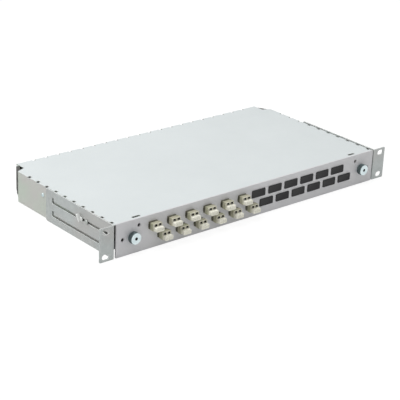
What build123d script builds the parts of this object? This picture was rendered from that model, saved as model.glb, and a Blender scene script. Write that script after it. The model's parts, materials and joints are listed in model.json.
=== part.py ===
from build123d import *
import os
from math import hypot

# A one-unit fibre interconnect drawer for a 19 inch rack, in millimetres.
# X runs across the front, Y runs back from the front face of the panel, Z is up.
# The finished pieces are moved so that the origin is the middle of the base of the whole unit.

# Rack standard
rack_width = 482.6
unit_height = 43.6
ear_hole_inset_x = 8.75
ear_hole_inset_z = 5.925
ear_slot_width = 7.0
ear_slot_length = 10.5

# Sheet thicknesses
cover_sheet = 1.2
base_sheet = 1.2
panel_sheet = 2.0
bracket_sheet = 1.5
tray_sheet = 1.2
runner_sheet = 1.5

# Housing: its width is what the two rack ears leave
ear_reach = 22.1
housing_rear = 228.6
housing_lift = 0.9
corner_chamfer_x = 13.0
corner_chamfer_y = 23.2
cover_bend_radius = 1.0
base_rear_lip = 14.0
front_margin = 37.2
front_tab_margin = 9.0
front_corner_depth = 18.0
base_wall_drop = 3.4
front_lip_inset = 7.0
front_lip_height = 3.0

# Slots along the cover's bend lines, and the pair near its front edge
bend_slot_pitch = 19.05
bend_slot_length = 5.0
bend_slot_bite = 3.8
bend_slot_drop = 1.6
first_side_slot = 9.4
cover_corner_cut_x = 12.5
cover_corner_cut_y = 18.0
front_slot_length = 12.5
front_slot_width = 3.5
front_slot_inset = 0.9
front_slot_y = 8.0

# Brackets
bracket_depth = 139.0
bracket_bend_radius = 1.5
bracket_corner_cut = 2.0
ear_corner_radius = 1.2
adjust_slot_front = 11.0
adjust_slot_inset = 13.0
adjust_slot_rise = 6.0
upper_slot_rise = 6.8
lower_slot_drop = 10.6

# Clamp screw and guide rivet of each bracket
clamp_y = 64.0
guide_offset = 11.0
clamp_screw_d = 3.0
clamp_collar_rim = 1.4
clamp_collar_height = 1.0
clamp_head_length = 10.2
clamp_head_thickness = 1.8
clamp_head_reach = 4.0
clamp_head_tilt = 38.0
clamp_head_lift = 2.5
clamp_head_rounding = 0.3
clamp_nut_wall = 1.5
clamp_nut_length = 4.0
guide_head_rim = 1.5
guide_head_height = 1.6
guide_head_rounding = 0.7
guide_tail_rim = 1.0
guide_tail_length = 1.5

# Cover screws
cover_screw_d = 3.0
cover_screw_length = 5.0
cover_head_rim = 1.0
cover_head_height = 1.6
side_screw_gap = 10.0
side_screw_rise = 1.2
rear_screw_x = 120.0
rear_screw_drop = 6.0

# Cable entries: a grommet in a notch of each rear corner
entry_notch_width = 16.0
entry_bore_d = 10.0
entry_rim = 2.0
entry_foot = 3.0
entry_skirt = 11.0
entry_rise = 6.0
entry_flange = 1.5
entry_corner_radius = 3.0

# Front panel
panel_inset = 1.6
panel_corner_radius = 0.8
small_hole_d = 4.8
upper_hole_inset = 2.0
upper_hole_drop = 8.8
outer_hole_inset = 9.5
outer_hole_drop = 0.4

# Adapter positions: two staggered rows across the drawer
columns = 12
fitted_columns = 6
row_inset = 0.5
row_spacing = 14.5
row_rise = 1.55

# Duplex adapter
adapter_width = 13.0
adapter_height = 9.3
adapter_front = 10.0
adapter_rear = 16.0
adapter_flange_x = 1.25
adapter_flange_z = 0.75
adapter_flange = 1.2
adapter_barb = 0.5
adapter_barb_length = 1.2
adapter_barb_height = 4.0
adapter_side_wall = 0.875
adapter_rib = 1.25
adapter_bottom_wall = 1.0
adapter_roof = 0.6
port_depth = 8.0
latch_inset = 0.7
latch_height = 3.0
latch_depth = 5.0
sleeve_bore_d = 1.8
ferrule_d = 1.25
sleeve_inset = 1.7

# Dust plugs
plug_head_inset = 0.45
plug_head_rim = 0.45
plug_head_length = 5.0
plug_head_sink = 0.35
plug_head_radius = 1.2
plug_tip_gap = 2.0
plug_dimple_d = 2.6
plug_dimple_depth = 0.8
plug_split = 0.6
plug_split_depth = 2.5
rear_plug_length = 4.0

# Blanking plugs
blank_gap = 5.8
blank_overlap = 0.45
blank_face = 1.2
blank_corner_radius = 1.3
blank_body_length = 4.5
blank_wall = 1.0
blank_barb = 0.5

# Captive thumbscrews
knob_inset = 12.0
knob_rise = 0.5
knob_d = 15.0
knob_length = 7.2
knob_chamfer = 0.8
knob_wall = 2.8
knob_face = 2.0
knob_recess_d = 4.0
knob_recess_depth = 1.8
lock_screw_d = 4.0
lock_screw_short = 0.6
lock_nut_wall = 2.5
lock_nut_length = 4.0
bush_flange_rim = 0.3
bush_flange = 1.0
bush_wall = 1.5
lock_washer = 0.5
spring_wire = 0.8
spring_inset = 1.1
spring_turns = 4

# Drawer
tray_side_gap = 4.0
tray_rear_gap = 30.6
tray_top_gap = 5.5
tray_lift = 1.3
tray_rear_wall = 10.0
tray_lip_gap = 1.7
tray_side_lip = 6.0
drawer_engaged = 48.0
rail_thickness = 3.0
rail_height = 8.0
rail_rise = 13.4
rail_front = 8.0
rail_tail_length = 6.0
rail_tail_drop = 1.2
runner_front = 5.0
runner_overhang = 2.0
runner_foot = 9.0

# Splice cassette and fibre routing, as shares of the drawer
cassette_width_share = 0.42
cassette_depth_share = 0.48
cassette_rear_gap = 20.0
cassette_height = 10.0
cassette_wall = 1.5
cassette_lid_thickness = 1.2
drum_place_share = 0.3
drum_size_share = 0.29
drum_wall = 1.5
holder_width_share = 0.16
holder_end_gap = 17.5
holder_height = 5.0
holder_grooves = 6
holder_groove_share = 0.6
holder_groove_depth = 3.5
spool_share = 0.7
spool_flange_rim = 6.0
spool_wall = 2.0
spool_height = 20.0
spool_flange = 1.5
guide_ring_shares = (0.25, 0.675)
guide_ring_gap = 10.5
guide_ring_width = 14.0
guide_ring_depth = 8.0
guide_ring_height = 14.0
guide_ring_wall = 1.5
guide_ring_mouth = 4.0

# Clearances
panel_gap = 0.4
bracket_gap = 0.8
collar_gap = 0.3
slot_gap = 0.4
slide_gap = 0.3
lip_gap = 0.6
stop_gap = 0.4
hole_gap = 0.1
cutout_gap = 0.1
shaft_gap = 0.2
turn_gap = 0.06
lock_screw_gap = 0.2
knob_gap = 0.3
washer_gap = 0.05
washer_rim_gap = 0.4
touch = 0.01
overrun = 5.0

# Sizes worked out from the values above: housing
mid_z = unit_height / 2
housing_width = rack_width - ear_reach * 2
housing_half = housing_width / 2
housing_front = panel_sheet + panel_gap
cover_top = unit_height - housing_lift
cover_under = cover_top - cover_sheet
floor_top = housing_lift + base_sheet
base_half = housing_half - cover_sheet
base_rear = housing_rear - cover_sheet
chamfer_start = housing_rear - corner_chamfer_y
chamfer_end = housing_half - corner_chamfer_x
opening_half = housing_half - front_margin
front_lip_half = opening_half - front_lip_inset
front_corner_rear = housing_front + front_corner_depth
base_wall_top = cover_under - base_wall_drop
front_slot_x = opening_half + front_slot_inset
side_bend_slots = int((chamfer_start - first_side_slot * 2) / bend_slot_pitch) + 1
rear_bend_slots = int(chamfer_end * 2 / bend_slot_pitch) - 1
rear_screw_z = base_rear_lip - rear_screw_drop
cover_head_d = cover_screw_d + cover_head_rim * 2
entry_flange_width = entry_notch_width + entry_rim * 2
entry_z = mid_z + entry_rise
entry_top = cover_under - entry_z - hole_gap * 2
entry_notch_bottom = -entry_notch_width / 2

# Brackets
bracket_inner = housing_half + bracket_gap
bracket_outer = bracket_inner + bracket_sheet
clamp_collar_face = bracket_outer + collar_gap
adjust_slot_rear = bracket_depth - adjust_slot_inset
adjust_slot_width = clamp_screw_d + slot_gap
upper_slot_z = mid_z + upper_slot_rise
lower_slot_z = mid_z - lower_slot_drop
ear_hole_x = rack_width / 2 - ear_hole_inset_x
ear_hole_rise = mid_z - ear_hole_inset_z
guide_y = clamp_y - guide_offset
clamp_collar_d = clamp_screw_d + clamp_collar_rim * 2
clamp_nut_d = clamp_screw_d + clamp_nut_wall * 2
guide_head_d = clamp_screw_d + guide_head_rim * 2
guide_tail_d = clamp_screw_d + guide_tail_rim * 2
side_screw_y = bracket_depth + side_screw_gap
side_screw_z = upper_slot_z + side_screw_rise

# Drawer and its rows of positions
panel_half = housing_half - panel_inset
upper_hole_x = opening_half + upper_hole_inset
upper_hole_z = unit_height - upper_hole_drop
outer_hole_x = panel_half - outer_hole_inset
outer_hole_z = mid_z - outer_hole_drop
tray_half = opening_half - tray_side_gap
tray_rear = housing_rear - tray_rear_gap
tray_wall_top = cover_under - tray_top_gap
tray_floor = floor_top + tray_lift
tray_floor_top = tray_floor + tray_sheet
drawer_travel = tray_rear - drawer_engaged
rail_bottom = tray_floor_top + rail_rise - rail_height / 2
rail_top = rail_bottom + rail_height
runner_web = tray_half + rail_thickness + slide_gap
runner_rear = tray_rear + runner_overhang
column_pitch = (tray_half - row_inset) * 2 / (columns + 0.5)
row_start = -(columns - 0.5) / 2 * column_pitch
row_shift = column_pitch / 2
upper_row_z = mid_z + row_rise + row_spacing / 2
lower_row_z = upper_row_z - row_spacing
tray_lip_top = lower_row_z - adapter_height / 2 - adapter_flange_z - tray_lip_gap

# Adapters and plugs
port_width = (adapter_width - adapter_side_wall * 2 - adapter_rib) / 2
port_height = adapter_height - adapter_bottom_wall - latch_height - adapter_roof
port_drop = adapter_height / 2 - adapter_bottom_wall - port_height / 2
port_pitch = port_width + adapter_rib
port_places = (-port_pitch / 2, port_pitch / 2)
latch_width = port_width - latch_inset * 2
sleeve_d = sleeve_bore_d - hole_gap
plug_head_width = adapter_width - plug_head_inset * 2
plug_head_height = port_height + plug_head_rim * 2
plug_head_drop = port_drop + plug_head_sink
plug_shaft_length = port_depth - plug_tip_gap
blank_width = column_pitch - blank_gap
blank_height = adapter_height + blank_overlap * 2

# Thumbscrews
knob_x = opening_half + knob_inset
knob_z = mid_z + knob_rise
front_tab_outer = knob_x + front_tab_margin
front_tab_top = knob_z + front_tab_margin
knob_hollow_d = knob_d - knob_wall * 2
knob_rear = -bush_flange - knob_gap
knob_front = knob_rear - knob_length
knob_floor = knob_front + knob_face
lock_nut_face = housing_front + base_sheet
lock_nut_end = lock_nut_face + lock_nut_length
lock_screw_tip = lock_nut_end - lock_screw_short
lock_nut_d = lock_screw_d + lock_nut_wall * 2
bush_d = lock_screw_d + bush_wall * 2
bush_flange_d = knob_hollow_d + bush_flange_rim * 2
lock_washer_d = knob_hollow_d - washer_rim_gap * 2
washer_front = knob_floor + washer_gap
washer_rear = washer_front + lock_washer
spring_mean_d = lock_washer_d - spring_inset * 2

# Cassette, spools and guide rings
cassette_half = tray_half * cassette_width_share
cassette_half_depth = tray_rear * cassette_depth_share / 2
cassette_y = tray_rear - cassette_rear_gap - cassette_half_depth
cassette_top = tray_floor_top + cassette_height
cassette_floor = tray_floor_top + cassette_wall
drum_x = cassette_half * 2 * drum_place_share
drum_d = cassette_half * 2 * drum_size_share
holder_half = cassette_half * holder_width_share
holder_half_depth = cassette_half_depth - holder_end_gap
holder_pitch = holder_half * 2 / holder_grooves
holder_groove_width = holder_pitch * holder_groove_share
spool_bay = tray_half - tray_sheet - cassette_half
spool_x = cassette_half + spool_bay / 2
spool_flange_d = spool_bay * spool_share
spool_d = spool_flange_d - spool_flange_rim * 2
spool_top = tray_floor_top + spool_height
guide_ring_y = cassette_y - cassette_half_depth - guide_ring_gap

# Reach of the whole unit
front_reach = adapter_front + plug_head_length
rear_reach = housing_rear + cover_head_height
origin_y = (rear_reach - front_reach) / 2


def block(x0, x1, y0, y1, z0, z1):
    """A box between two corners."""
    size = Box(x1 - x0, y1 - y0, z1 - z0)
    return Pos((x0 + x1) / 2, (y0 + y1) / 2, (z0 + z1) / 2) * size


def rod_y(x, z, diameter, y0, y1):
    """A cylinder along Y."""
    return Pos(x, (y0 + y1) / 2, z) * Rot(90, 0, 0) * Cylinder(diameter / 2, y1 - y0)


def rod_x(y, z, diameter, x0, x1):
    """A cylinder along X."""
    return Pos((x0 + x1) / 2, y, z) * Rot(0, 90, 0) * Cylinder(diameter / 2, x1 - x0)


def rod_z(x, y, diameter, z0, z1):
    """A cylinder along Z."""
    return Pos(x, y, (z0 + z1) / 2) * Cylinder(diameter / 2, z1 - z0)


def plate(points, z0, z1):
    """A flat plate with the given outline."""
    face = make_face(Polyline(*points, close=True))
    return Pos(0, 0, z0) * extrude(face, z1 - z0)


def mirrored(points):
    """An outline that repeats its right half on the left."""
    return points + [(-x, y) for x, y in reversed(points)]


def other_side(piece):
    """The same piece on the other side of the unit."""
    return mirror(piece, about=Plane.YZ)


def group(pieces):
    """Separate solids that share one name."""
    return Compound(children=[solid for piece in pieces for solid in piece.solids()])


# Housing

def chamfer_plane():
    """The outer face of the right rear corner at the cable entry, with its normal pointing out."""
    run_x = chamfer_end - base_half
    run_y = base_rear - chamfer_start
    length = hypot(run_x, run_y)
    middle = ((base_half + chamfer_end) / 2, (chamfer_start + base_rear) / 2, entry_z)
    along = (run_x / length, run_y / length, 0)
    outward = (run_y / length, -run_x / length, 0)
    return Plane(origin=middle, x_dir=along, z_dir=outward)


def make_base_shell():
    """Floor, side walls, cut-off rear corners, a low rear lip and two front tabs."""
    outline = mirrored([
        (base_half, housing_front),
        (base_half, chamfer_start),
        (chamfer_end, base_rear),
    ])
    footprint = make_face(Polyline(*outline, close=True))
    inside = offset(footprint, -base_sheet, kind=Kind.INTERSECTION)
    height = cover_under - housing_lift
    shell = Pos(0, 0, housing_lift) * extrude(footprint, height)
    shell -= Pos(0, 0, floor_top) * extrude(inside, height)
    tab_rear = housing_front + base_sheet
    shell -= block(-opening_half, opening_half, housing_front, tab_rear, floor_top, cover_top)
    shell -= block(-base_half, base_half, housing_front, tab_rear, front_tab_top, cover_top)
    corner = block(front_tab_outer, base_half, housing_front, front_corner_rear, 0, cover_top)
    wall_inner = base_half - base_sheet
    over_wall = block(wall_inner, base_half, front_corner_rear, chamfer_start, base_wall_top, cover_top)
    for room in (corner, over_wall):
        shell -= room
        shell -= other_side(room)
    rear_half = chamfer_end - base_sheet * 2
    shell -= block(-rear_half, rear_half, base_rear - base_sheet, base_rear, base_rear_lip, cover_top)
    for side in (-1, 1):
        shell -= rod_y(side * knob_x, knob_z, lock_screw_d + lock_screw_gap * 2, 0, housing_front + overrun)
        shell -= side_wall_holes(side)
        rear_hole = (base_rear - overrun, base_rear)
        shell -= rod_y(side * rear_screw_x, rear_screw_z, cover_screw_d + hole_gap, *rear_hole)
    half_notch = entry_notch_width / 2
    notch = block(-half_notch, half_notch, entry_notch_bottom, cover_top - entry_z, -overrun, overrun)
    shell -= chamfer_plane() * notch
    shell -= other_side(chamfer_plane() * notch)
    return shell


def side_wall_holes(side):
    """Holes through the side wall for the clamp screw, the guide rivet and the cover screw."""
    inner = side * (base_half - overrun)
    outer = side * (housing_half + overrun)
    holes = rod_x(clamp_y, upper_slot_z, clamp_screw_d + shaft_gap, min(inner, outer), max(inner, outer))
    holes += rod_x(guide_y, upper_slot_z, clamp_screw_d + hole_gap, min(inner, outer), max(inner, outer))
    holes += rod_x(side_screw_y, side_screw_z, cover_screw_d + hole_gap, min(inner, outer), max(inner, outer))
    return holes


def bend_slot(x, y, along_y):
    """One relief slot bitten out of a bend line of the cover."""
    half_x = bend_slot_bite if along_y else bend_slot_length / 2
    half_y = bend_slot_length / 2 if along_y else bend_slot_bite
    bottom = cover_top - bend_slot_drop
    return block(x - half_x, x + half_x, y - half_y, y + half_y, bottom, cover_top + overrun)


def make_top_cover():
    """Top, sides and rear folded from one sheet, with relief slots along the bends."""
    cut_x = housing_half - cover_corner_cut_x
    cut_y = housing_rear - cover_corner_cut_y
    outline = mirrored([
        (housing_half, housing_front),
        (housing_half, chamfer_start),
        (cut_x, cut_y),
        (cut_x, housing_rear),
    ])
    cover = plate(outline, cover_under, cover_top)
    for side in (-1, 1):
        wall = block(base_half, housing_half, front_corner_rear, chamfer_start, housing_lift, cover_under)
        cover += wall if side > 0 else other_side(wall)
    cover += block(-chamfer_end, chamfer_end, base_rear, housing_rear, housing_lift, cover_under)
    bends = [edge for edge in cover.edges() if on_bend(edge)]
    cover = fillet(bends, cover_bend_radius)
    lip_bottom = cover_under - front_lip_height
    lip_rear = housing_front + cover_sheet
    cover += block(-front_lip_half, front_lip_half, housing_front, lip_rear, lip_bottom, cover_under)
    for side in (-1, 1):
        for index in range(side_bend_slots):
            cover -= bend_slot(side * housing_half, first_side_slot + index * bend_slot_pitch, True)
        slot = extrude(SlotOverall(front_slot_length, front_slot_width), overrun, both=True)
        cover -= Pos(side * front_slot_x, front_slot_y, cover_top) * slot
        cover -= side_wall_holes(side)
        cover -= rod_y(side * rear_screw_x, rear_screw_z, cover_screw_d + hole_gap, base_rear, housing_rear)
    for index in range(rear_bend_slots):
        x = (index - (rear_bend_slots - 1) / 2) * bend_slot_pitch
        cover -= bend_slot(x, housing_rear, False)
    return cover


def on_bend(edge):
    """True for the long upper outer edges of the cover's sides and rear."""
    middle = edge.center()
    at_top = abs(middle.Z - cover_top) < touch
    at_side = abs(abs(middle.X) - housing_half) < touch
    at_rear = abs(middle.Y - housing_rear) < touch
    return at_top and (at_side or at_rear)


def make_cover_screws():
    """Pan-head screws that hold the cover to the base at the sides and the rear."""
    screws = []
    for side in (-1, 1):
        head = rod_x(side_screw_y, side_screw_z, cover_head_d, housing_half, housing_half + cover_head_height)
        shank_end = housing_half - cover_screw_length
        screw = head + rod_x(side_screw_y, side_screw_z, cover_screw_d, shank_end, housing_half)
        screws.append(screw if side > 0 else other_side(screw))
        x = side * rear_screw_x
        rear_head = rod_y(x, rear_screw_z, cover_head_d, housing_rear, housing_rear + cover_head_height)
        shank_end = housing_rear - cover_screw_length
        screws.append(rear_head + rod_y(x, rear_screw_z, cover_screw_d, shank_end, housing_rear))
    return group(screws)


def make_runner():
    """The right guide on the housing floor that the drawer's rail slides in."""
    web_outer = runner_web + runner_sheet
    lip_inner = tray_half + lip_gap
    top = rail_top + slide_gap + runner_sheet
    stop_y = tray_rear - rail_tail_length - drawer_travel - stop_gap
    lip_top = rail_bottom - slide_gap
    runner = block(runner_web, web_outer, runner_front, runner_rear, floor_top, top)
    runner += block(lip_inner, web_outer, runner_front, runner_rear, top - runner_sheet, top)
    runner += block(lip_inner, web_outer, runner_front, stop_y, lip_top - runner_sheet, lip_top)
    foot_outer = web_outer + runner_foot
    runner += block(runner_web, foot_outer, runner_front, runner_rear, floor_top, floor_top + runner_sheet)
    return runner


def entry_plate(foot):
    """A flange of the grommet that reaches below the notch by its foot."""
    bottom = entry_notch_bottom - foot
    outline = RectangleRounded(entry_flange_width, entry_top - bottom, entry_corner_radius)
    return Pos(0, (entry_top + bottom) / 2, 0) * extrude(outline, entry_flange)


def make_cable_grommet():
    """The right rubber grommet, slid into the notch of the cut-off rear corner."""
    outer_rim = entry_plate(entry_skirt)
    inner_rim = Pos(0, 0, -base_sheet - entry_flange) * entry_plate(entry_foot)
    half_neck = entry_notch_width / 2 - hole_gap
    neck = block(-half_neck, half_neck, entry_notch_bottom + hole_gap, entry_top, -base_sheet, 0)
    bore = Cylinder(entry_bore_d / 2, overrun * 2)
    return chamfer_plane() * (outer_rim + neck + inner_rim - bore)


def make_lock_nut():
    """The right press-in nut that a thumbscrew is driven into."""
    nut = rod_y(knob_x, knob_z, lock_nut_d, lock_nut_face, lock_nut_end)
    return nut - rod_y(knob_x, knob_z, lock_screw_d + lock_screw_gap * 2, 0, lock_nut_end + overrun)


def make_clamp_nut():
    """The right press-in nut for a bracket's clamp screw."""
    inner_face = base_half - base_sheet
    nut = rod_x(clamp_y, upper_slot_z, clamp_nut_d, inner_face - clamp_nut_length, inner_face)
    bore_end = inner_face - clamp_nut_length
    return nut - rod_x(clamp_y, upper_slot_z, clamp_screw_d + turn_gap * 2, bore_end, inner_face)


def make_guide_rivet():
    """The right headed rivet that keeps a bracket's upper slot in line."""
    inner_face = base_half - base_sheet
    rivet = rod_x(guide_y, upper_slot_z, clamp_screw_d, inner_face - guide_tail_length, clamp_collar_face)
    rivet += rod_x(guide_y, upper_slot_z, guide_tail_d, inner_face - guide_tail_length, inner_face)
    head_end = clamp_collar_face + guide_head_height
    head = rod_x(guide_y, upper_slot_z, guide_head_d, clamp_collar_face, head_end)
    rim = head.edges().sort_by(Axis.X)[-1]
    return rivet + fillet(rim, guide_head_height * guide_head_rounding)


# Brackets

def adjust_slot(z):
    """A long slot in the bracket's side, with a short leg rising at its rear end."""
    length = adjust_slot_rear - adjust_slot_front
    middle = (adjust_slot_front + adjust_slot_rear) / 2
    across = Plane(origin=(bracket_inner, middle, z), x_dir=(0, 1, 0), z_dir=(1, 0, 0))
    run = across * extrude(SlotOverall(length, adjust_slot_width), overrun, both=True)
    leg_y = adjust_slot_rear - adjust_slot_width
    leg_top = z + adjust_slot_rise
    leg = block(bracket_inner, bracket_outer, leg_y, adjust_slot_rear, z, leg_top)
    return run + leg


def make_bracket():
    """The right angle bracket: a slotted side and a rack ear."""
    side = block(bracket_inner, bracket_outer, 0, bracket_depth, 0, unit_height)
    rear_edges = side.edges().filter_by(Axis.X).group_by(Axis.Y)[-1]
    side = chamfer(rear_edges, bracket_corner_cut)
    ear = block(bracket_inner, rack_width / 2, 0, bracket_sheet, 0, unit_height)
    ear_corners = ear.edges().filter_by(Axis.Y).group_by(Axis.X)[-1]
    ear = fillet(ear_corners, ear_corner_radius)
    bracket = side + ear
    bend = bracket.edges().filter_by(Axis.Z).sort_by_distance((bracket_inner, 0, mid_z))[0]
    bracket = fillet(bend, bracket_bend_radius)
    for z in (upper_slot_z, lower_slot_z):
        bracket -= adjust_slot(z)
    for up in (-1, 1):
        z = mid_z + up * ear_hole_rise
        slot = Rot(90, 0, 0) * extrude(SlotOverall(ear_slot_length, ear_slot_width), overrun, both=True)
        bracket -= Pos(ear_hole_x, 0, z) * slot
    return bracket


def make_clamp_screw():
    """The right thumb screw through a bracket's upper slot, with an off-centre spade head."""
    inner_face = base_half - base_sheet
    screw = rod_x(clamp_y, upper_slot_z, clamp_screw_d, inner_face - clamp_nut_length, clamp_collar_face)
    collar_end = clamp_collar_face + clamp_collar_height
    screw += rod_x(clamp_y, upper_slot_z, clamp_collar_d, clamp_collar_face, collar_end)
    spade = Box(clamp_head_reach, clamp_head_thickness, clamp_head_length)
    outer_edges = spade.edges().filter_by(Axis.Y).group_by(Axis.X)[-1]
    spade = Pos(0, 0, clamp_head_lift) * fillet(outer_edges, clamp_head_reach * clamp_head_rounding)
    centre = Pos(collar_end + clamp_head_reach / 2, clamp_y, upper_slot_z)
    return screw + centre * Rot(-clamp_head_tilt, 0, 0) * spade


# Drawer

def adapter_places(first, count, lower):
    """Centres of the positions in one row, counted from the left."""
    start = row_start + (row_shift if lower else 0)
    z = lower_row_z if lower else upper_row_z
    return [(start + (first + index) * column_pitch, z) for index in range(count)]


def make_front_panel():
    """The drawer's front plate with its staggered adapter cut-outs."""
    panel = block(-panel_half, panel_half, 0, panel_sheet, 0, unit_height)
    panel = fillet(panel.edges().filter_by(Axis.Y), panel_corner_radius)
    half_x = adapter_width / 2 + cutout_gap
    half_z = adapter_height / 2 + cutout_gap
    for lower in (False, True):
        for x, z in adapter_places(0, columns, lower):
            panel -= block(x - half_x, x + half_x, 0, panel_sheet, z - half_z, z + half_z)
    for side in (-1, 1):
        panel -= rod_y(side * knob_x, knob_z, bush_d + hole_gap, 0, panel_sheet)
        panel -= rod_y(side * upper_hole_x, upper_hole_z, small_hole_d, 0, panel_sheet)
        panel -= rod_y(side * outer_hole_x, outer_hole_z, small_hole_d, 0, panel_sheet)
    return panel


def make_drawer_tray():
    """Floor, two sides, a low rear wall and lips that carry the front panel."""
    half = tray_half
    sheet = tray_sheet
    front = panel_sheet
    tray = block(-half, half, front, tray_rear, tray_floor, tray_wall_top)
    tray -= block(-half + sheet, half - sheet, front, tray_rear - sheet, tray_floor_top, unit_height)
    rear_top = tray_floor_top + tray_rear_wall
    tray -= block(-half + sheet, half - sheet, tray_rear - sheet, tray_rear, rear_top, unit_height)
    tray += block(-half, half, front, front + sheet, tray_floor, tray_lip_top)
    tray += block(half - tray_side_lip, half, front, front + sheet, tray_floor, tray_wall_top)
    tray += block(-half, -half + tray_side_lip, front, front + sheet, tray_floor, tray_wall_top)
    return tray


def make_slide_rail():
    """The right bar on the drawer's side; its tail drops down to meet the stop."""
    outer = tray_half + rail_thickness
    rail = block(tray_half, outer, rail_front, tray_rear, rail_bottom, rail_top)
    tail_front = tray_rear - rail_tail_length
    return rail + block(tray_half, outer, tail_front, tray_rear, rail_bottom - rail_tail_drop, rail_bottom)


def make_adapter(x, z):
    """A duplex adapter: two ports at each end, a rear flange and two snap barbs."""
    half_x = adapter_width / 2
    half_z = adapter_height / 2
    flange_x = half_x + adapter_flange_x
    flange_z = half_z + adapter_flange_z
    barb_x = half_x + adapter_barb
    barb_z = adapter_barb_height / 2
    flange_end = panel_sheet + adapter_flange
    body = block(-half_x, half_x, -adapter_front, adapter_rear, -half_z, half_z)
    body += block(-flange_x, flange_x, panel_sheet, flange_end, -flange_z, flange_z)
    body += block(-barb_x, barb_x, -adapter_barb_length, 0, -barb_z, barb_z)
    port_low = -port_drop - port_height / 2
    port_high = -port_drop + port_height / 2
    front_end = -adapter_front + port_depth
    rear_end = adapter_rear - port_depth
    for place in port_places:
        left = place - port_width / 2
        right = place + port_width / 2
        body -= block(left, right, -adapter_front, front_end, port_low, port_high)
        body -= block(left, right, rear_end, adapter_rear, port_low, port_high)
        notch_left = place - latch_width / 2
        notch_right = place + latch_width / 2
        notch_end = -adapter_front + latch_depth
        body -= block(notch_left, notch_right, -adapter_front, notch_end, port_high, port_high + latch_height)
        body -= rod_y(place, -port_drop, sleeve_bore_d, front_end, rear_end)
    return Pos(x, 0, z) * body


def make_alignment_sleeves(places):
    """The sleeves that line up two ferrules, one for each pair of ports."""
    ends = (port_depth - adapter_front + sleeve_inset, adapter_rear - port_depth - sleeve_inset)
    sleeves = []
    for x, z in places:
        for place in port_places:
            tube = rod_y(x + place, z - port_drop, sleeve_d, *ends)
            sleeves.append(tube - rod_y(x + place, z - port_drop, ferrule_d, *ends))
    return group(sleeves)


def plug_shafts(y0, y1):
    """Two square shafts that fill a pair of ports."""
    half_x = port_width / 2 - shaft_gap
    half_z = port_height / 2 - shaft_gap
    left = -port_pitch / 2
    right = port_pitch / 2
    shafts = block(left - half_x, left + half_x, y0, y1, -port_drop - half_z, -port_drop + half_z)
    return shafts + block(right - half_x, right + half_x, y0, y1, -port_drop - half_z, -port_drop + half_z)


def plug_head(y0, y1):
    """A rounded grip across both ports."""
    half_x = plug_head_width / 2
    half_z = plug_head_height / 2
    head = block(-half_x, half_x, y0, y1, -plug_head_drop - half_z, -plug_head_drop + half_z)
    return fillet(head.edges().filter_by(Axis.Y), plug_head_radius)


def make_dust_plug(x, z):
    """A duplex dust plug in an adapter's front ports."""
    face = -adapter_front
    tip = face - plug_head_length
    half_z = plug_head_height / 2
    plug = plug_head(tip, face) + plug_shafts(face, face + plug_shaft_length)
    split_end = tip + plug_split_depth
    half_split = plug_split / 2
    plug -= block(-half_split, half_split, tip, split_end, -plug_head_drop - half_z, -plug_head_drop + half_z)
    for place in port_places:
        plug -= rod_y(place, -plug_head_drop, plug_dimple_d, tip, tip + plug_dimple_depth)
    return Pos(x, 0, z) * plug


def make_rear_dust_plugs(places):
    """Shorter plugs in the adapters' rear ports."""
    plugs = []
    for x, z in places:
        plug = plug_head(adapter_rear, adapter_rear + rear_plug_length)
        plug += plug_shafts(adapter_rear - plug_shaft_length, adapter_rear)
        plugs.append(Pos(x, 0, z) * plug)
    return group(plugs)


def make_blanking_plugs(places):
    """Snap-in plugs over the unused cut-outs of one row."""
    half_x = blank_width / 2
    half_z = blank_height / 2
    body_x = adapter_width / 2 - cutout_gap
    body_z = adapter_height / 2 - cutout_gap
    plugs = []
    for x, z in places:
        face = block(-half_x, half_x, -blank_face, 0, -half_z, half_z)
        plug = fillet(face.edges().filter_by(Axis.Y), blank_corner_radius)
        plug += block(-body_x, body_x, 0, blank_body_length, -body_z, body_z)
        barb_x = body_x + cutout_gap + blank_barb
        plug += block(-barb_x, barb_x, panel_sheet, panel_sheet + blank_barb * 2, -body_z / 2, body_z / 2)
        inner_x = body_x - blank_wall
        inner_z = body_z - blank_wall
        plug -= block(-inner_x, inner_x, blank_wall, blank_body_length, -inner_z, inner_z)
        plugs.append(Pos(x, 0, z) * plug)
    return group(plugs)


def make_screw_bush():
    """The right flanged bush in the panel that guides a thumbscrew."""
    bush = rod_y(knob_x, knob_z, bush_flange_d, -bush_flange, 0)
    bush += rod_y(knob_x, knob_z, bush_d, 0, panel_sheet)
    return bush - rod_y(knob_x, knob_z, lock_screw_d + lock_screw_gap * 2, -overrun, overrun)


def make_screw_spring():
    """The right coil that pushes a thumbscrew out when it is undone."""
    height = -bush_flange - washer_rear - spring_wire - washer_gap
    coil = Helix(pitch=height / spring_turns, height=height, radius=spring_mean_d / 2)
    wire = Plane(origin=coil @ 0, z_dir=coil % 0) * Circle(spring_wire / 2)
    start = -bush_flange - spring_wire / 2
    return Pos(knob_x, start, knob_z) * Rot(90, 0, 0) * sweep(wire, path=coil, is_frenet=True)


def make_lock_washer():
    """The right washer between a thumbscrew's coil and its knob."""
    washer = rod_y(knob_x, knob_z, lock_washer_d, washer_front, washer_rear)
    return washer - rod_y(knob_x, knob_z, lock_screw_d + turn_gap * 2, knob_front, overrun)


def make_thumbscrew():
    """The right captive thumbscrew: a hollow round knob on a screw."""
    knob = rod_y(knob_x, knob_z, knob_d, knob_front, knob_rear)
    knob = chamfer(knob.edges().group_by(Axis.Y)[0], knob_chamfer)
    knob -= rod_y(knob_x, knob_z, knob_hollow_d, knob_floor, knob_rear)
    knob += rod_y(knob_x, knob_z, lock_screw_d, knob_floor, lock_screw_tip)
    return knob - rod_y(knob_x, knob_z, knob_recess_d, knob_front, knob_front + knob_recess_depth)


# Inside the drawer

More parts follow.
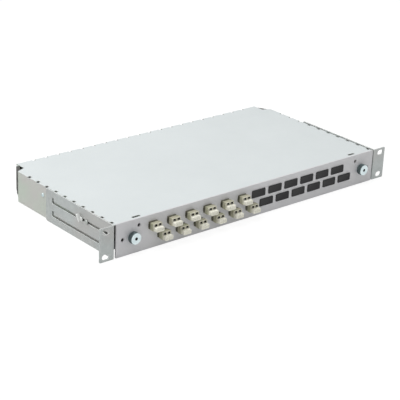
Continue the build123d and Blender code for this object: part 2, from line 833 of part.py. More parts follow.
def make_splice_cassette():
    """An open cassette with two winding drums."""
    half = cassette_half
    y0 = cassette_y - cassette_half_depth
    y1 = cassette_y + cassette_half_depth
    wall = cassette_wall
    cassette = block(-half, half, y0, y1, tray_floor_top, cassette_top)
    cassette -= block(-half + wall, half - wall, y0 + wall, y1 - wall, cassette_floor, cassette_top)
    for side in (-1, 1):
        drum = rod_z(side * drum_x, cassette_y, drum_d, cassette_floor, cassette_top - wall)
        hollow_d = drum_d - drum_wall * 2
        cassette += drum - rod_z(side * drum_x, cassette_y, hollow_d, cassette_floor, cassette_top)
    return cassette


def make_cassette_lid():
    """The clear snap-on lid of the cassette."""
    y0 = cassette_y - cassette_half_depth
    y1 = cassette_y + cassette_half_depth
    return block(-cassette_half, cassette_half, y0, y1, cassette_top, cassette_top + cassette_lid_thickness)


def make_splice_holder():
    """A grooved block between the drums that holds the splice sleeves."""
    top = cassette_floor + holder_height
    y0 = cassette_y - holder_half_depth
    y1 = cassette_y + holder_half_depth
    holder = block(-holder_half, holder_half, y0, y1, cassette_floor, top)
    groove = holder_groove_width / 2
    for index in range(holder_grooves):
        x = (index - (holder_grooves - 1) / 2) * holder_pitch
        holder -= block(x - groove, x + groove, y0, y1, top - holder_groove_depth, top)
    return holder


def make_fibre_spool():
    """The right open ring that spare fibre is wound on."""
    spool = rod_z(spool_x, cassette_y, spool_d, tray_floor_top, spool_top)
    spool += rod_z(spool_x, cassette_y, spool_flange_d, spool_top - spool_flange, spool_top)
    return spool - rod_z(spool_x, cassette_y, spool_d - spool_wall * 2, tray_floor_top, spool_top)


def make_fibre_guides():
    """Square rings, open at the top, that keep fibres low behind the adapters."""
    top = tray_floor_top + guide_ring_height
    wall = guide_ring_wall
    y0 = guide_ring_y - guide_ring_depth / 2
    y1 = guide_ring_y + guide_ring_depth / 2
    half = guide_ring_width / 2
    mouth = guide_ring_mouth / 2
    rings = []
    for x in [side * tray_half * share for share in guide_ring_shares for side in (-1, 1)]:
        ring = block(x - half, x + half, y0, y1, tray_floor_top, top)
        ring -= block(x - half + wall, x + half - wall, y0, y1, tray_floor_top + wall, top - wall)
        rings.append(ring - block(x - mouth, x + mouth, y0, y1, top - wall, top))
    return group(rings)


def make_parts():
    """Every piece by name."""
    parts = {}
    parts["base_shell"] = make_base_shell()
    parts["top_cover"] = make_top_cover()
    parts["cover_screws"] = make_cover_screws()
    pairs = {
        "runner": make_runner(),
        "cable_grommet": make_cable_grommet(),
        "bracket": make_bracket(),
        "clamp_screw": make_clamp_screw(),
        "guide_rivet": make_guide_rivet(),
        "slide_rail": make_slide_rail(),
        "screw_spring": make_screw_spring(),
        "screw_washer": make_lock_washer(),
        "thumbscrew": make_thumbscrew(),
        "fibre_spool": make_fibre_spool(),
    }
    for name, piece in pairs.items():
        parts["left_" + name] = other_side(piece)
        parts["right_" + name] = piece
    shared = {
        "lock_nuts": make_lock_nut(),
        "clamp_nuts": make_clamp_nut(),
        "screw_bushes": make_screw_bush(),
    }
    for name, piece in shared.items():
        parts[name] = group([other_side(piece), piece])
    parts["drawer_tray"] = make_drawer_tray()
    parts["front_panel"] = make_front_panel()
    fitted = adapter_places(0, fitted_columns, False) + adapter_places(0, fitted_columns, True)
    for number, (x, z) in enumerate(fitted, start=1):
        parts[f"adapter_{number:02d}"] = make_adapter(x, z)
        parts[f"dust_plug_{number:02d}"] = make_dust_plug(x, z)
    parts["alignment_sleeves"] = make_alignment_sleeves(fitted)
    parts["rear_dust_plugs"] = make_rear_dust_plugs(fitted)
    spare = columns - fitted_columns
    parts["upper_blanking_plugs"] = make_blanking_plugs(adapter_places(fitted_columns, spare, False))
    parts["lower_blanking_plugs"] = make_blanking_plugs(adapter_places(fitted_columns, spare, True))
    parts["splice_cassette"] = make_splice_cassette()
    parts["cassette_lid"] = make_cassette_lid()
    parts["splice_holder"] = make_splice_holder()
    parts["fibre_guides"] = make_fibre_guides()
    return parts


os.makedirs("parts", exist_ok=True)
for name, piece in make_parts().items():
    export_step(Pos(0, -origin_y, 0) * piece, f"parts/{name}.step")
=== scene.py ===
import json
from math import cos, pi, radians, sin

import bmesh
import bpy
from mathutils import Matrix, Vector


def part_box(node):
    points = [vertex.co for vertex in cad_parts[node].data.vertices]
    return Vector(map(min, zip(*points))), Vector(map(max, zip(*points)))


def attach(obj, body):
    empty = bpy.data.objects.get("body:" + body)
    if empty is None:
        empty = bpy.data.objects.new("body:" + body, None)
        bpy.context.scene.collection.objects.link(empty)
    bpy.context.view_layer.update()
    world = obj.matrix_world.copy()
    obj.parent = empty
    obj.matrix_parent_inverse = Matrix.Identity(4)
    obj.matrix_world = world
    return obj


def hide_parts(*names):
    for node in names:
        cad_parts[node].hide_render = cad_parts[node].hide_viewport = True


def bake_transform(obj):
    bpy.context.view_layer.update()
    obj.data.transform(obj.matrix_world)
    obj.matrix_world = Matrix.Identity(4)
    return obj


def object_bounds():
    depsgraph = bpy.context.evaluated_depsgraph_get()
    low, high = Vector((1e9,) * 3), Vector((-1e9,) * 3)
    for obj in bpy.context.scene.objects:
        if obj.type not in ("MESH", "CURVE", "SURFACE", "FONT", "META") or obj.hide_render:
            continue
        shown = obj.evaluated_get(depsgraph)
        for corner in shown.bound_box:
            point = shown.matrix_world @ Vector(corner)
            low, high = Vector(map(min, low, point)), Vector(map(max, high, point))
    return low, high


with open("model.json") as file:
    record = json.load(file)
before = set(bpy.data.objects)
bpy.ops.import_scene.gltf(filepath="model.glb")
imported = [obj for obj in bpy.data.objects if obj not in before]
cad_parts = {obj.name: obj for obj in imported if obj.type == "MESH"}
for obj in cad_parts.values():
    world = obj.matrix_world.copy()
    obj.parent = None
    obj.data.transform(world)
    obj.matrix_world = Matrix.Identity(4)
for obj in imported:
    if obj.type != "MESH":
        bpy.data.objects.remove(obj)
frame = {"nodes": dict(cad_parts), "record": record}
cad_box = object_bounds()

MM = 0.001
NODES = frame["nodes"]
BODIES = frame["record"]["behaviour"]["bodies"]
BODY_OF = {node: body for body, nodes in BODIES.items() for node in nodes}
SLOT_OF = {part["node"]: part["material_slot"] for part in frame["record"]["subparts"]}
SIDES = ("left", "right")
ADAPTER_COUNT = 12
ADAPTER_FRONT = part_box("adapter_01")[0].y
ADAPTER_LIP = 0.9 * MM
KNURL_PERIOD = 4

# Edges that only the shading rounds, and depths of the surface textures
SHEET_EDGE = 0.9 * MM
PLATED_EDGE = 0.2 * MM
MOULDED_EDGE = 0.25 * MM
HOUSING_EDGE = 0.5 * MM
PANEL_EDGE = 0.4 * MM
FINE_BUMP = 0.03 * MM
SPARK_BUMP = 0.04 * MM

# Scales of textures along X, Y and Z
ROLLED = (600.0, 20.0, 900.0)
TURNED = (900.0, 300.0, 900.0)
FORMED = (700.0, 200.0, 700.0)
RUBBED = (40.0, 400.0, 400.0)


# Shader building blocks

def start_material(name):
    """A new material with its node tree, its shader and the object's own coordinates in metres."""
    material = bpy.data.materials.new(name)
    material.use_nodes = True
    tree = material.node_tree
    coords = tree.nodes.new("ShaderNodeTexCoord").outputs["Object"]
    return material, tree, tree.nodes["Principled BSDF"], coords


def stretched(tree, coords, scale):
    """Coordinates with a scale for each axis."""
    mapping = tree.nodes.new("ShaderNodeMapping")
    mapping.inputs["Scale"].default_value = scale
    tree.links.new(coords, mapping.inputs["Vector"])
    return mapping.outputs["Vector"]


def noise(tree, coords, scale, detail=3.0):
    """Cloudy noise from 0 to 1; scale is in features per metre."""
    texture = tree.nodes.new("ShaderNodeTexNoise")
    texture.inputs["Scale"].default_value = scale
    texture.inputs["Detail"].default_value = detail
    tree.links.new(coords, texture.inputs["Vector"])
    return texture.outputs["Fac"]


def spangle(tree, coords, scale):
    """A random value in each crystal of a zinc coat."""
    texture = tree.nodes.new("ShaderNodeTexVoronoi")
    texture.inputs["Scale"].default_value = scale
    tree.links.new(coords, texture.inputs["Vector"])
    split = tree.nodes.new("ShaderNodeSeparateColor")
    tree.links.new(texture.outputs["Color"], split.inputs["Color"])
    return split.outputs["Red"]


def remap(tree, value, low, high, to_low, to_high):
    """A value moved from one range to another, and held there."""
    node = tree.nodes.new("ShaderNodeMapRange")
    for name, number in zip(("From Min", "From Max", "To Min", "To Max"), (low, high, to_low, to_high)):
        node.inputs[name].default_value = number
    tree.links.new(value, node.inputs["Value"])
    return node.outputs["Result"]


def colour_mix(tree, factor, first, second):
    """Two colours mixed by a factor; either may be a colour or another node's output."""
    node = tree.nodes.new("ShaderNodeMix")
    node.data_type = "RGBA"
    tree.links.new(factor, node.inputs[0])
    for socket, colour in ((node.inputs[6], first), (node.inputs[7], second)):
        if isinstance(colour, tuple):
            socket.default_value = (*colour, 1.0)
        else:
            tree.links.new(colour, socket)
    return node.outputs[2]


def rounded_normal(tree, radius):
    """The surface normal as if sharp edges had this radius."""
    bevel = tree.nodes.new("ShaderNodeBevel")
    bevel.samples = 4
    bevel.inputs["Radius"].default_value = radius
    return bevel.outputs["Normal"]


def edge_mask(tree, normal, reach):
    """One along sharp edges, zero on flat faces."""
    geometry = tree.nodes.new("ShaderNodeNewGeometry")
    dot = tree.nodes.new("ShaderNodeVectorMath")
    dot.operation = "DOT_PRODUCT"
    tree.links.new(normal, dot.inputs[0])
    tree.links.new(geometry.outputs["Normal"], dot.inputs[1])
    return remap(tree, dot.outputs["Value"], 1.0 - reach, 1.0, 1.0, 0.0)


def bump(tree, height, depth, strength, normal):
    """A bumped normal; depth is in metres."""
    node = tree.nodes.new("ShaderNodeBump")
    node.inputs["Strength"].default_value = strength
    node.inputs["Distance"].default_value = depth
    tree.links.new(height, node.inputs["Height"])
    tree.links.new(normal, node.inputs["Normal"])
    return node.outputs["Normal"]


def upward(tree, normal):
    """The part of a normal that points up."""
    split = tree.nodes.new("ShaderNodeSeparateXYZ")
    tree.links.new(normal, split.inputs["Vector"])
    return split.outputs["Z"]


def upright_mask(tree):
    """One on upright faces and undersides, zero on tops."""
    geometry = tree.nodes.new("ShaderNodeNewGeometry")
    return remap(tree, upward(tree, geometry.outputs["Normal"]), 0.2, 0.8, 1.0, 0.0)


def product(tree, first, second):
    """Two values multiplied."""
    node = tree.nodes.new("ShaderNodeMath")
    node.operation = "MULTIPLY"
    tree.links.new(first, node.inputs[0])
    tree.links.new(second, node.inputs[1])
    return node.outputs["Value"]


def painted(name, light, dark, edge_wear_and_highlight, rough, peel, edge, upright=None):
    """Powder-coated sheet: faint clouding, fine orange peel, and lighter edges: thin coat plus a painted
    highlight.
    """
    material, tree, shader, coords = start_material(name)
    clouds = remap(tree, noise(tree, coords, 14.0, 4.0), 0.3, 0.7, 0.0, 1.0)
    fleck = remap(tree, noise(tree, coords, 620.0, 2.0), 0.35, 0.65, 0.0, 1.0)
    base = colour_mix(tree, clouds, dark, light)
    base = colour_mix(tree, remap(tree, fleck, 0.0, 1.0, 0.0, 0.3), base, dark)
    # Upright faces and undersides take a darker, greener tone than tops: partly the side walls' own tone,
    # partly painted shade.
    if upright:
        patches = remap(tree, noise(tree, coords, 22.0, 2.0), 0.38, 0.62, 0.0, 1.0)
        base = colour_mix(tree, upright_mask(tree), base, colour_mix(tree, patches, *upright))
    normal = rounded_normal(tree, edge)
    # Edges lightened: partly wear of the thin coat, partly a painted highlight.
    base = colour_mix(tree, remap(tree, edge_mask(tree, normal, 0.3), 0.0, 1.0, 0.0, 0.55), base, edge_wear_and_highlight)
    tree.links.new(base, shader.inputs["Base Color"])
    tree.links.new(remap(tree, noise(tree, coords, 90.0, 5.0), 0.3, 0.7, rough - 0.06, rough + 0.06),
                   shader.inputs["Roughness"])
    orange_peel = noise(tree, coords, peel, 2.0)
    tree.links.new(bump(tree, orange_peel, FINE_BUMP, 0.35, normal), shader.inputs["Normal"])
    shader.inputs["Specular IOR Level"].default_value = 0.35
    return material


def zinc_sheet(name, light, dark, warm, bright, grain):
    """Zinc-coated sheet: crystals, grain rolled along one axis, handling scuffs and painted highlights on
    upper edges.
    """
    material, tree, shader, coords = start_material(name)
    crystals = spangle(tree, coords, 240.0)
    rolled = noise(tree, stretched(tree, coords, grain), 1.0, 4.0)
    scuffs = remap(tree, noise(tree, coords, 26.0, 8.0), 0.42, 0.62, 0.0, 1.0)
    base = colour_mix(tree, crystals, dark, light)
    base = colour_mix(tree, remap(tree, rolled, 0.3, 0.7, 0.0, 0.5), base, dark)
    base = colour_mix(tree, remap(tree, scuffs, 0.0, 1.0, 0.0, 0.3), base, light)
    patches = noise(tree, coords, 20.0, 2.0)
    base = colour_mix(tree, remap(tree, patches, 0.45, 0.65, 0.0, 0.6), base, warm)
    normal = rounded_normal(tree, SHEET_EDGE)
    # Painted highlight: edges that face up are lightened where overhead light would catch them.
    facing_up = remap(tree, upward(tree, normal), 0.1, 0.5, 0.25, 1.0)
    edge_wear_and_highlight = product(tree, edge_mask(tree, normal, 0.25), facing_up)
    base = colour_mix(tree, edge_wear_and_highlight, base, bright)
    tree.links.new(base, shader.inputs["Base Color"])
    tree.links.new(remap(tree, crystals, 0.0, 1.0, 0.42, 0.56), shader.inputs["Roughness"])
    tree.links.new(bump(tree, rolled, FINE_BUMP, 0.3, normal), shader.inputs["Normal"])
    shader.inputs["Metallic"].default_value = 0.55
    return material


def plated(name, light, dark, rough, turned):
    """Metal of turned or formed fixings: a clouded film and fine tool marks."""
    material, tree, shader, coords = start_material(name)
    film = remap(tree, noise(tree, coords, 160.0, 3.0), 0.3, 0.7, 0.0, 1.0)
    marks = noise(tree, stretched(tree, coords, turned), 1.0, 3.0)
    base = colour_mix(tree, film, dark, light)
    tree.links.new(base, shader.inputs["Base Color"])
    tree.links.new(remap(tree, marks, 0.3, 0.7, rough - 0.08, rough + 0.08), shader.inputs["Roughness"])
    normal = rounded_normal(tree, PLATED_EDGE)
    tree.links.new(bump(tree, marks, FINE_BUMP, 0.3, normal), shader.inputs["Normal"])
    shader.inputs["Metallic"].default_value = 0.85
    return material


def front_band(tree, coords, edge):
    """High in front of a plane across the unit, fading to zero over a millimetre behind it."""
    split = tree.nodes.new("ShaderNodeSeparateXYZ")
    tree.links.new(coords, split.inputs["Vector"])
    return remap(tree, split.outputs["Y"], edge, edge + MM, 0.75, 0.0)


def moulded(name, light, dark, edge_wear_and_highlight, rough, texture, lip=None, gloss=0.5):
    """Moulded plastic: flow clouding, a fine spark texture and lighter edges, partly wear and partly a
    painted highlight.
    """
    material, tree, shader, coords = start_material(name)
    flow = remap(tree, noise(tree, coords, 90.0, 4.0), 0.3, 0.7, 0.0, 1.0)
    normal = rounded_normal(tree, MOULDED_EDGE)
    base = colour_mix(tree, flow, dark, light)
    # The front rim of an adapter is lighter, mixed toward the edge colour.
    if lip:
        base = colour_mix(tree, front_band(tree, coords, lip), base, edge_wear_and_highlight)
    # Edges lightened: partly wear, partly a painted highlight.
    base = colour_mix(tree, remap(tree, edge_mask(tree, normal, 0.3), 0.0, 1.0, 0.0, 0.5), base, edge_wear_and_highlight)
    tree.links.new(base, shader.inputs["Base Color"])
    grain = noise(tree, coords, texture, 2.0)
    tree.links.new(remap(tree, grain, 0.3, 0.7, rough - 0.08, rough + 0.08), shader.inputs["Roughness"])
    tree.links.new(bump(tree, grain, SPARK_BUMP, 0.3, normal), shader.inputs["Normal"])
    shader.inputs["Specular IOR Level"].default_value = gloss
    return material


def clear_plastic(name, tint):
    """A clear lid with faint rubbing marks."""
    material, tree, shader, coords = start_material(name)
    marks = noise(tree, stretched(tree, coords, RUBBED), 1.0, 5.0)
    tree.links.new(remap(tree, marks, 0.4, 0.7, 0.04, 0.25), shader.inputs["Roughness"])
    base = colour_mix(tree, noise(tree, coords, 30.0), tint, (0.96, 0.98, 0.98))
    tree.links.new(base, shader.inputs["Base Color"])
    shader.inputs["Transmission Weight"].default_value = 0.85
    shader.inputs["IOR"].default_value = 1.49
    return material


MATERIALS = {
    # Housing paint: its last two colours give upright faces a darker, greener tone, partly painted shade.
    "housing_paint": painted("housing_paint", (0.715, 0.76, 0.765), (0.685, 0.73, 0.735), (0.80, 0.83, 0.83),
                             0.5, 1100.0, HOUSING_EDGE, ((0.545, 0.60, 0.53), (0.575, 0.57, 0.545))),
    "panel_paint": painted("panel_paint", (0.735, 0.735, 0.745), (0.685, 0.685, 0.70), (0.84, 0.85, 0.86),
                           0.45, 1400.0, PANEL_EDGE),
    "zinc_sheet": zinc_sheet("zinc_sheet", (0.515, 0.545, 0.535), (0.395, 0.425, 0.42), (0.465, 0.45, 0.435),
                             (0.95, 0.97, 0.96), ROLLED),
    "zinc_fixings": plated("zinc_fixings", (0.74, 0.83, 0.845), (0.60, 0.71, 0.73), 0.32, TURNED),
    "beige_plastic": moulded("beige_plastic", (0.46, 0.43, 0.33), (0.35, 0.365, 0.24), (0.64, 0.625, 0.52),
                             0.45, 1800.0, ADAPTER_FRONT + ADAPTER_LIP),
    "cream_plastic": moulded("cream_plastic", (0.92, 0.905, 0.80), (0.87, 0.855, 0.73), (0.95, 0.94, 0.88),
                             0.4, 1500.0),
    "black_plastic": moulded("black_plastic", (0.017, 0.017, 0.018), (0.011, 0.011, 0.012),
                             (0.05, 0.05, 0.052), 0.55, 1300.0, gloss=0.3),
    "grey_plastic": moulded("grey_plastic", (0.56, 0.57, 0.56), (0.50, 0.51, 0.50), (0.70, 0.71, 0.70),
                            0.45, 1500.0),
    "clear_plastic": clear_plastic("clear_plastic", (0.88, 0.93, 0.93)),
    "black_rubber": moulded("black_rubber", (0.085, 0.085, 0.08), (0.06, 0.06, 0.055), (0.14, 0.14, 0.13),
                            0.75, 900.0),
    "bronze": plated("bronze", (0.72, 0.50, 0.27), (0.60, 0.40, 0.20), 0.35, FORMED),
}
# Black standing in for the shade inside adapter openings and the thumbscrew's face recess: painted shade.
SHADE_BLACK = moulded("shade_black", (0.006, 0.006, 0.005), (0.003, 0.003, 0.003), (0.01, 0.01, 0.01),
                      0.7, 1300.0)
# A spring clip coloured dark; the dark also stands in for the shade near the panel.
CLIP_AND_SHADE = plated("clip_and_shade", (0.26, 0.26, 0.205), (0.15, 0.145, 0.11), 0.5, FORMED)
# Darker copy of the thumbscrew metal for its knurled side: painted shade.
SHADED_KNURL = plated("knurl_painted_shade", (0.17, 0.215, 0.22), (0.105, 0.135, 0.14), 0.45, TURNED)
DULL_ZINC = plated("dull_zinc", (0.50, 0.52, 0.50), (0.36, 0.38, 0.365), 0.5, TURNED)
# A darker zinc for the sheets inside the housing: painted shade, so the interior reads dark through holes and
# slots.
SHADE_DARKENED_ZINC = zinc_sheet("shade_darkened_zinc", (0.26, 0.275, 0.27), (0.19, 0.205, 0.20), (0.23, 0.225, 0.215),
                        (0.55, 0.57, 0.56), ROLLED)
SPADE_ZINC = zinc_sheet("spade_zinc", (0.76, 0.79, 0.78), (0.62, 0.65, 0.64), (0.68, 0.68, 0.66),
                        (0.97, 0.98, 0.98), ROLLED)
INNER_SHEETS = ("drawer_tray", "left_slide_rail", "right_slide_rail", "left_runner", "right_runner")

# Sheets inside the housing take the shade-darkened zinc.
for name, node in NODES.items():
    for slot in node.material_slots:
        slot.material = SHADE_DARKENED_ZINC if name in INNER_SHEETS else MATERIALS[SLOT_OF[name]]


# Pieces that stand for CAD nodes

def add_piece(name, mesh, node, smooth_angle=35.0):
    """A finished mesh that takes the place of a CAD node."""
    piece = bpy.data.objects.new(name, mesh)
    bpy.context.scene.collection.objects.link(piece)
    mesh.materials.clear()
    mesh.materials.append(MATERIALS[SLOT_OF[node]])
    mesh.shade_smooth()
    mesh.set_sharp_from_angle(angle=radians(smooth_angle))
    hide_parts(node)
    return piece


def clean_copy(node):
    """A node's mesh with its flat faces joined up again."""
    weld = 0.002 * MM
    flat = radians(0.5)
    bm = bmesh.new()
    bm.from_mesh(NODES[node].data)
    bmesh.ops.remove_doubles(bm, verts=bm.verts, dist=weld)
    bmesh.ops.dissolve_limit(bm, angle_limit=flat, verts=bm.verts, edges=bm.edges)
    return bm


def round_edges(bm, width, sharper_than=40.0):
    """A small radius on every edge that is sharper than an angle."""
    sharp = [e for e in bm.edges if len(e.link_faces) == 2 and e.calc_face_angle() > radians(sharper_than)]
    bmesh.ops.bevel(bm, geom=sharp, offset=width, segments=2, profile=0.5, affect="EDGES", clamp_overlap=True)


def to_mesh(name, bm):
    """A mesh from a bmesh, which is then freed."""
    bmesh.ops.recalc_face_normals(bm, faces=bm.faces)
    mesh = bpy.data.meshes.new(name)
    bm.to_mesh(mesh)
    bm.free()
    return mesh


def softened(node, width):
    """A node's shape with rounded edges."""
    bm = clean_copy(node)
    round_edges(bm, width)
    piece = add_piece("soft_" + node, to_mesh("soft_" + node, bm), node)
    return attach(piece, BODY_OF[node])


def cut_out(piece, tool_mesh):
    """Takes the shape of a tool out of a piece for good."""
    tool = bpy.data.objects.new("cutter", tool_mesh)
    bpy.context.scene.collection.objects.link(tool)
    cut = piece.modifiers.new("cut", "BOOLEAN")
    cut.object = tool
    cut.use_self = True
    cut.solver = "EXACT"
    bpy.context.view_layer.update()
    done = bpy.data.meshes.new_from_object(piece.evaluated_get(bpy.context.evaluated_depsgraph_get()))
    piece.modifiers.clear()
    piece.data = done
    bpy.data.objects.remove(tool)


def make_adapter(node):
    """An adapter with rounded edges, black inside as painted shade, and a sunk spring clip partly darkened as
    shade.
    """
    low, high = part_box(node)
    middle = (low + high) / 2
    half_x = 6.5 * MM
    half_z = 4.65 * MM
    wall_x = 0.7 * MM
    wall_z = 0.5 * MM
    rounding = 0.3 * MM
    sink = 0.35 * MM
    clip_width = 3.4 * MM
    clip_rear = 9.8 * MM
    clip_y = low.y + clip_rear - clip_width / 2
    margin = 0.1 * MM
    bm = clean_copy(node)
    round_edges(bm, rounding)
    piece = add_piece("clipped_" + node, to_mesh("clipped_" + node, bm), node)
    cutter = bmesh.new()
    for side in (-1, 1):
        flank = ((side * half_x, 0.0), (sink * 2, half_z * 3))
        face = ((0.0, side * half_z), (half_x * 3, sink * 2))
        for offset, size in (flank, face):
            place = Matrix.Translation((middle.x + offset[0], clip_y, middle.z + offset[1]))
            box = place @ Matrix.Diagonal((size[0], clip_width, size[1], 1.0))
            bmesh.ops.create_cube(cutter, size=1.0, matrix=box)
    cut_out(piece, to_mesh("clip_cutter", cutter))
    piece.data.materials.append(SHADE_BLACK)
    piece.data.materials.append(CLIP_AND_SHADE)
    for face in piece.data.polygons:
        within_x = abs(face.center.x - middle.x) < half_x - wall_x
        within_z = abs(face.center.z - middle.z) < half_z - wall_z
        # Faces inside the adapter are painted black as shade.
        if within_x and within_z and face.center.y > low.y + margin:
            face.material_index = 1
        # The clip band: a real clip, coloured dark partly as painted shade near the panel.
        elif abs(face.center.y - clip_y) < clip_width / 2 + margin:
            face.material_index = 2
    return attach(piece, BODY_OF[node])


def lathe(bm, place, profile, segments, ridge=0.0, ridged=()):
    """Turns a profile of (radius, height) around the local Z axis and knurls the steps named in ridged."""
    rings = []
    for step, (radius, height) in enumerate(profile):
        if radius == 0.0:
            rings.append([bm.verts.new(place @ Vector((0.0, 0.0, height)))])
            continue
        ring = []
        for index in range(segments):
            groove = step in ridged and index % KNURL_PERIOD < KNURL_PERIOD / 2
            reach = radius - ridge if groove else radius
            angle = 2 * pi * index / segments
            ring.append(bm.verts.new(place @ Vector((reach * cos(angle), reach * sin(angle), height))))
        rings.append(ring)
    for first, second in zip(rings, rings[1:]):
        for index in range(segments):
            after = (index + 1) % segments
            corners = [first[index % len(first)], first[after % len(first)],
                       second[after % len(second)], second[index % len(second)]]
            face = list(dict.fromkeys(corners))
            bm.faces.new(face)


def knob_profile(length, radius, reach):
    """Outline of a captive thumbscrew from the recess in its face to the tip of its screw."""
    hollow = 4.7 * MM
    floor = 2.0 * MM
    screw = 2.0 * MM
    recess = 2.0 * MM
    recess_depth = 1.8 * MM
    thread_start = 1.6 * MM
    thread_end = 1.2 * MM
    thread_pitch = 0.7 * MM
    thread_depth = 0.25 * MM
    face = [
        (0.0, -recess_depth), (recess, -recess_depth), (recess, -0.15 * MM), (recess + 0.25 * MM, 0.0),
        (3.4 * MM, 0.0), (3.55 * MM, -0.12 * MM), (3.85 * MM, -0.12 * MM), (4.0 * MM, 0.0),
        (radius - 1.1 * MM, 0.0),
    ]
    side = [
        (radius - 0.35 * MM, -0.35 * MM), (radius, -1.0 * MM), (radius, -1.3 * MM),
        (radius, -length + 0.9 * MM), (radius - 0.5 * MM, -length + 0.35 * MM), (radius - 0.6 * MM, -length),
    ]
    inside = [(hollow, -length), (hollow, -floor), (screw, -floor)]
    thread = []
    height = -length - thread_start
    while height > -reach + thread_end:
        thread += [(screw, height), (screw - thread_depth, height - thread_pitch / 2)]
        height -= thread_pitch
    tip = [(screw - 0.5 * MM, -reach), (0.0, -reach)]
    steps = face + side + inside + thread + tip
    ridged = (len(face) + 2, len(face) + 3)
    return steps, ridged


def make_thumbscrew(side):
    """A knurled captive thumbscrew with a turned face; its knurled side and face recess are darkened as
    painted shade.
    """
    node = side + "_thumbscrew"
    low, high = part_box(node)
    middle = (low + high) / 2
    place = Matrix.Translation((middle.x, low.y, middle.z)) @ Matrix.Rotation(pi / 2, 4, "X")
    length = 7.2 * MM
    knurl_depth = 0.38 * MM
    knurl_segments = 160
    recess_radius = 2.1 * MM
    recess_floor = 2.0 * MM
    rim_radius = 6.0 * MM
    steps, ridged = knob_profile(length, (high.x - low.x) / 2, high.y - low.y)
    bm = bmesh.new()
    lathe(bm, place, steps, knurl_segments, knurl_depth, ridged)
    piece = add_piece(side + "_knurled_thumbscrew", to_mesh(node, bm), node, smooth_angle=25.0)
    piece.data.materials.append(SHADED_KNURL)
    piece.data.materials.append(SHADE_BLACK)
    for face in piece.data.polygons:
        depth = face.center.y - low.y
        from_axis = Vector((face.center.x - middle.x, face.center.z - middle.z)).length
        # The face recess is painted black as shade.
        if from_axis < recess_radius and 0.1 * MM < depth < recess_floor:
            face.material_index = 2
        # The knurled side is painted dark as shade.
        elif from_axis > rim_radius and 0.5 * MM < depth < length:
            face.material_index = 1
    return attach(piece, BODY_OF[node])


def make_spring(side):
    """The coil between the bush and the washer, a copy of its CAD mesh."""
    node = side + "_screw_spring"
    mesh = NODES[node].data.copy()
    mesh.name = side + "_coil"
    piece = add_piece(side + "_coil", mesh, node)
    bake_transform(piece)
    return piece


def make_cover_screws():
    """Pan heads with a cross recess, one for each screw of the cover."""
    node = "cover_screws"
    low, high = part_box(node)
    head = 2.5 * MM
    screw = 1.5 * MM
    height = 1.6 * MM
    length = 5.0 * MM
    tip = 0.3 * MM
    side_y = 41.4 * MM
    side_z = 29.8 * MM
    rear_x = 120.0 * MM
    rear_z = 8.0 * MM
    recess = Matrix.Diagonal((2.6 * MM, 0.55 * MM, 1.6 * MM, 1.0))
    places = [
        Matrix.Translation((low.x, side_y, side_z)) @ Matrix.Rotation(-pi / 2, 4, "Y"),
        Matrix.Translation((high.x, side_y, side_z)) @ Matrix.Rotation(pi / 2, 4, "Y"),
        Matrix.Translation((-rear_x, high.y, rear_z)) @ Matrix.Rotation(-pi / 2, 4, "X"),
        Matrix.Translation((rear_x, high.y, rear_z)) @ Matrix.Rotation(-pi / 2, 4, "X"),
    ]
    dome = [(0.0, 0.0), (0.9 * MM, -0.03 * MM), (1.6 * MM, -0.22 * MM), (2.2 * MM, -0.65 * MM)]
    rim = [(head, -1.1 * MM), (head, -height), (screw, -height)]
    end = -height - length
    shank = [(screw, end + tip), (screw - tip, end), (0.0, end)]
    steps = dome + rim + shank
    solid = bmesh.new()
    cutter = bmesh.new()
    for place in places:
        lathe(solid, place, steps, segments=32)
        for turn in (0.0, pi / 2):
            arm = place @ Matrix.Rotation(turn + pi / 4, 4, "Z") @ recess
            bmesh.ops.create_cube(cutter, size=1.0, matrix=arm)
    piece = add_piece("cross_head_screws", to_mesh("cross_head_screws", solid), node, smooth_angle=30.0)
    cut_out(piece, to_mesh("cross_cutter", cutter))
    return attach(piece, BODY_OF[node])


def make_blanks(node):
    """Blanking plugs with rounded rims and a shallow sunk face."""
    rim = 1.0 * MM
    sink = 0.3 * MM
    rounding = 0.18 * MM
    level = 0.01 * MM
    bm = clean_copy(node)
    front = min(v.co.y for v in bm.verts)
    forward = [f for f in bm.faces if f.normal.y < -0.99]
    faces = [f for f in forward if abs(f.calc_center_median().y - front) < level]
    bmesh.ops.inset_individual(bm, faces=faces, thickness=rim, depth=-sink)
    round_edges(bm, rounding)
    piece = add_piece("sunk_" + node, to_mesh("sunk_" + node, bm), node)
    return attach(piece, BODY_OF[node])


PLUG_ROUNDING = 0.35 * MM
CLAMP_ROUNDING = 0.3 * MM
RUBBER_ROUNDING = 0.5 * MM
RIVET_ROUNDING = 0.2 * MM

for number in range(1, ADAPTER_COUNT + 1):
    make_adapter(f"adapter_{number:02d}")
    softened(f"dust_plug_{number:02d}", PLUG_ROUNDING)
softened("rear_dust_plugs", PLUG_ROUNDING)
make_blanks("upper_blanking_plugs")
make_blanks("lower_blanking_plugs")
make_cover_screws()
for side in SIDES:
    make_thumbscrew(side)
    make_spring(side)
    softened(side + "_clamp_screw", CLAMP_ROUNDING).data.materials[0] = SPADE_ZINC
    softened(side + "_cable_grommet", RUBBER_ROUNDING)
    softened(side + "_guide_rivet", RIVET_ROUNDING).data.materials[0] = DULL_ZINC


# Floor, light and camera

FLOOR_SIZE = 6.0
FLOOR_GAP = 0.2 * MM
FLOOR_GLOW = 1.12
WORLD_LIGHT = 0.38
SENSOR = 36.0
LENS = 120.4
FAR_CLIP = 30.0
CAMERA_PLACE = (-1.0803, -1.2369, 0.6789)
CAMERA_TURN = (radians(67.068), radians(-2.463), radians(-40.19))


def white_backdrop_rays(tree):
    """One for rays that should see the plain white background."""
    rays = tree.nodes.new("ShaderNodeLightPath")
    total = rays.outputs["Is Camera Ray"]
    for name in ("Is Glossy Ray", "Is Transmission Ray"):
        node = tree.nodes.new("ShaderNodeMath")
        node.operation = "MAXIMUM"
        tree.links.new(total, node.inputs[0])
        tree.links.new(rays.outputs[name], node.inputs[1])
        total = node.outputs["Value"]
    return total


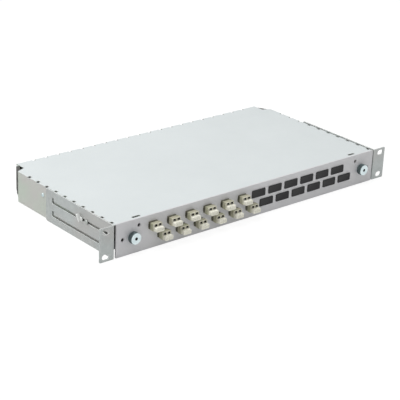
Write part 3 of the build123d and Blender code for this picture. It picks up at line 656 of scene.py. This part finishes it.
def make_floor():
    """A pale floor that is white to the camera and keeps a faint shadow."""
    bm = bmesh.new()
    bmesh.ops.create_grid(bm, x_segments=1, y_segments=1, size=FLOOR_SIZE)
    floor = bpy.data.objects.new("floor", to_mesh("floor", bm))
    bpy.context.scene.collection.objects.link(floor)
    floor.location.z = cad_box[0][2] - FLOOR_GAP
    material, tree, shader, coords = start_material("floor")
    tone = colour_mix(tree, noise(tree, coords, 3.0), (0.84, 0.84, 0.84), (0.88, 0.88, 0.88))
    tree.links.new(tone, shader.inputs["Base Color"])
    shader.inputs["Roughness"].default_value = 0.9
    shader.inputs["Specular IOR Level"].default_value = 0.1
    glow = tree.nodes.new("ShaderNodeEmission")
    glow.inputs["Strength"].default_value = FLOOR_GLOW
    mix = tree.nodes.new("ShaderNodeMixShader")
    tree.links.new(remap(tree, white_backdrop_rays(tree), 0.0, 1.0, 0.0, 0.8), mix.inputs["Fac"])
    tree.links.new(shader.outputs["BSDF"], mix.inputs[1])
    tree.links.new(glow.outputs["Emission"], mix.inputs[2])
    tree.links.new(mix.outputs["Shader"], tree.nodes["Material Output"].inputs["Surface"])
    floor.data.materials.append(material)


def make_world():
    """White to the camera and in reflections, and an even dim light on everything else."""
    world = bpy.data.worlds.new("studio")
    bpy.context.scene.world = world
    world.use_nodes = True
    tree = world.node_tree
    background = tree.nodes["Background"]
    background.inputs["Color"].default_value = (1.0, 1.0, 1.0, 1.0)
    strength = remap(tree, white_backdrop_rays(tree), 0.0, 1.0, WORLD_LIGHT, 1.0)
    tree.links.new(strength, background.inputs["Strength"])


def add_softbox(name, place, aim, size, watts):
    """A square area light aimed at a point."""
    lamp = bpy.data.lights.new(name, "AREA")
    lamp.size = size
    lamp.energy = watts
    box = bpy.data.objects.new(name, lamp)
    box.location = place
    box.rotation_euler = (Vector(aim) - Vector(place)).to_track_quat("-Z", "Y").to_euler()
    bpy.context.scene.collection.objects.link(box)


def make_camera():
    """The photograph's view: a long lens from the front left, well above the unit."""
    data = bpy.data.cameras.new("camera")
    data.sensor_width = SENSOR
    data.lens = LENS
    data.clip_end = FAR_CLIP
    camera = bpy.data.objects.new("camera", data)
    camera.location = CAMERA_PLACE
    camera.rotation_euler = CAMERA_TURN
    bpy.context.scene.collection.objects.link(camera)
    bpy.context.scene.camera = camera


make_floor()
make_world()
add_softbox("overhead", place=(-0.6, 0.3, 1.7), aim=(0.0, 0.0, 0.0), size=1.6, watts=26.0)
add_softbox("front", place=(-0.9, -2.2, 0.8), aim=(0.0, 0.0, 0.02), size=1.2, watts=3.6)
make_camera()
bpy.context.scene.view_settings.view_transform = "Standard"
